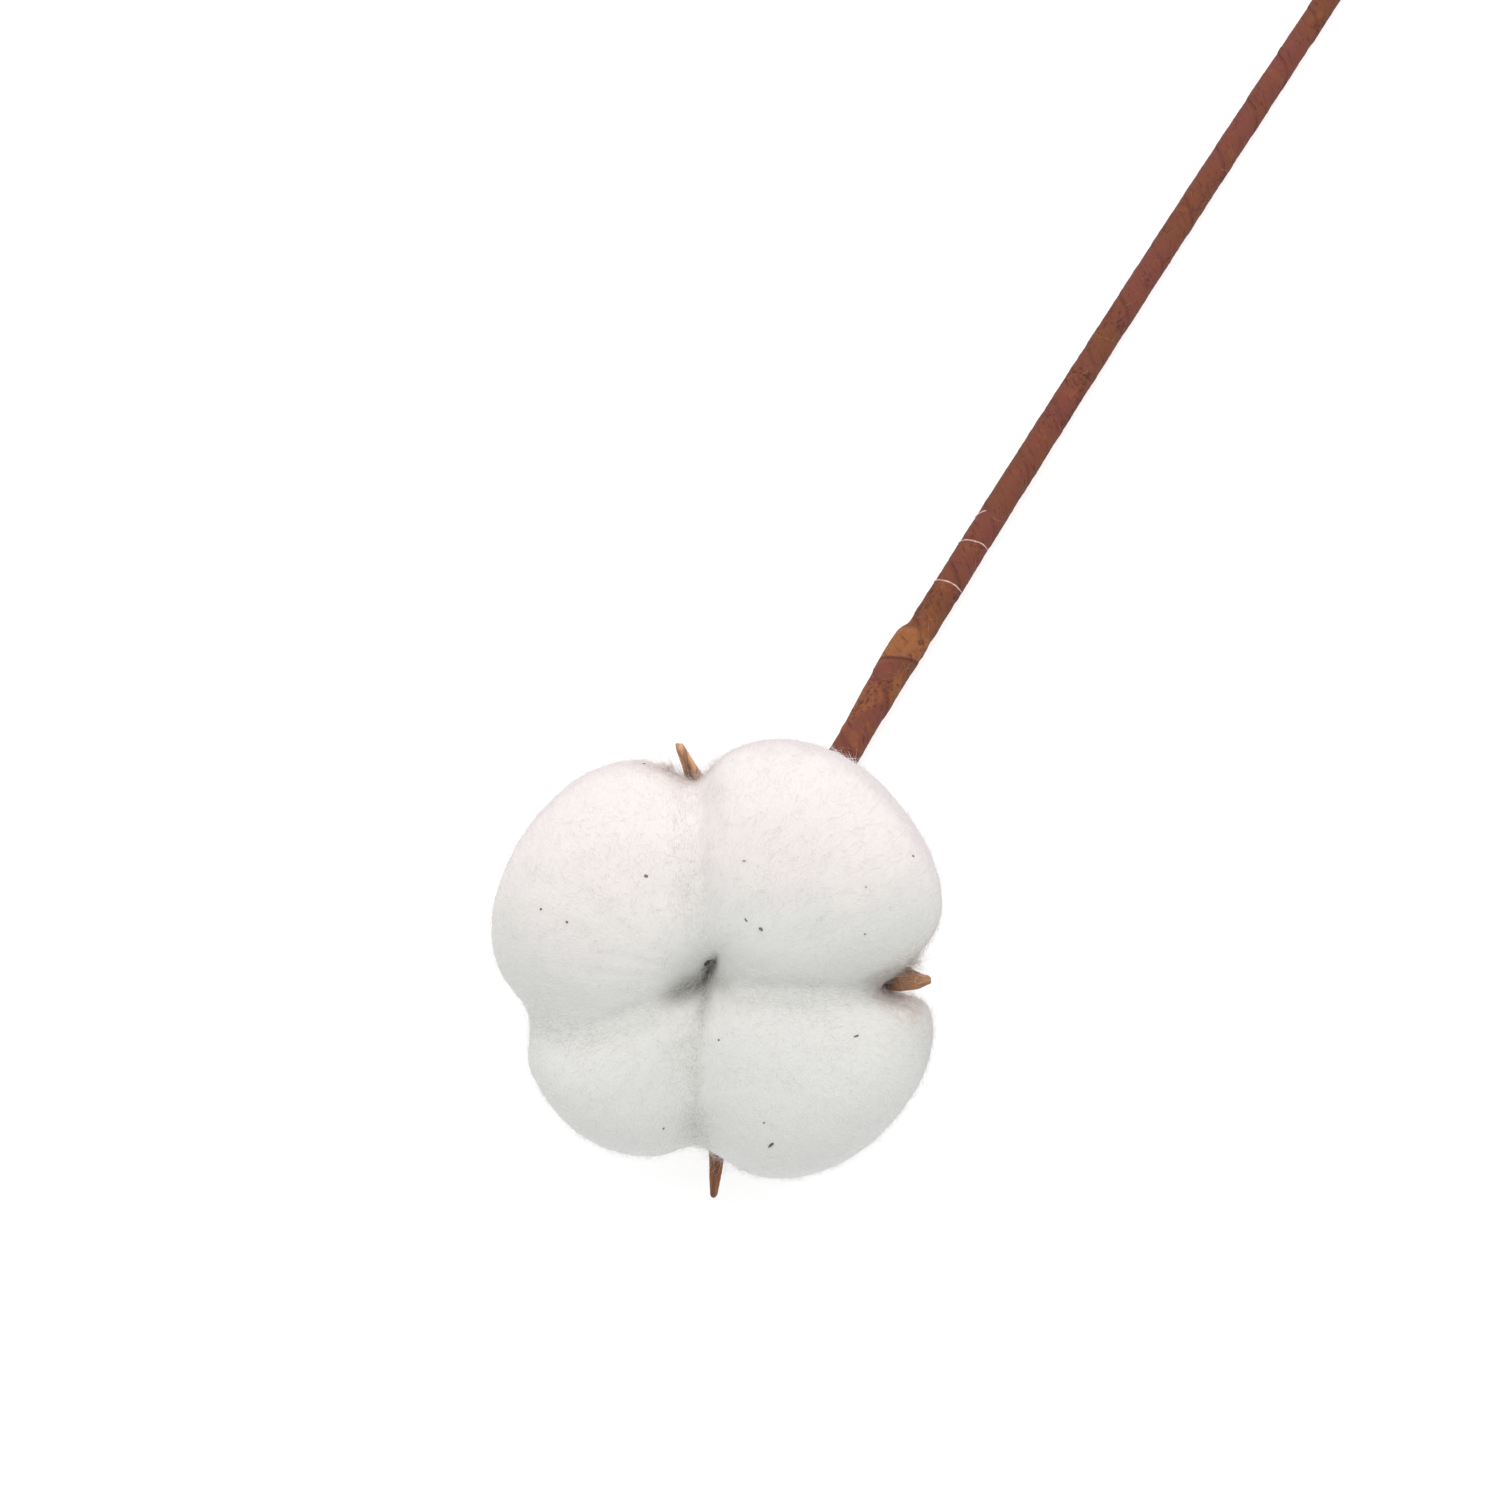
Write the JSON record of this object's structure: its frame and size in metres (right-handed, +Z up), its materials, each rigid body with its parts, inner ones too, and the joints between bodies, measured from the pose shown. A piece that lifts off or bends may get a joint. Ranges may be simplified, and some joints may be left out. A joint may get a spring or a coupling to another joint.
{
  "type": "cotton boll",
  "caption": "Dried cotton boll with fluffy white locks seated in a woody burr, bent on a straight wired stem wrapped in brown paper tape, lying on a flat surface.",
  "frame": {"origin": "on the surface it lies on, at the flat spot under the lower right lock of cotton", "axes": "+Z up, +Y along the stem, away from the boll; the boll's open face looks up and towards -Y"},
  "size_m": [0.0588, 0.2287, 0.0486],
  "materials": {
    "cotton": "fluffy, matt, raw cotton fibre",
    "burr": "dry, grooved, matt to slightly silky husk",
    "paper": "crinkled brown florist's tape, matt",
    "wire": "plain drawn wire"
  },
  "bodies": {
    "root": {"lock_upper_right": "cotton", "lock_upper_left": "cotton", "lock_lower_left": "cotton", "lock_lower_right": "cotton", "burr": "burr", "paper_wrap": "paper", "stem_wire": "wire"}
  },
  "joints": []
}
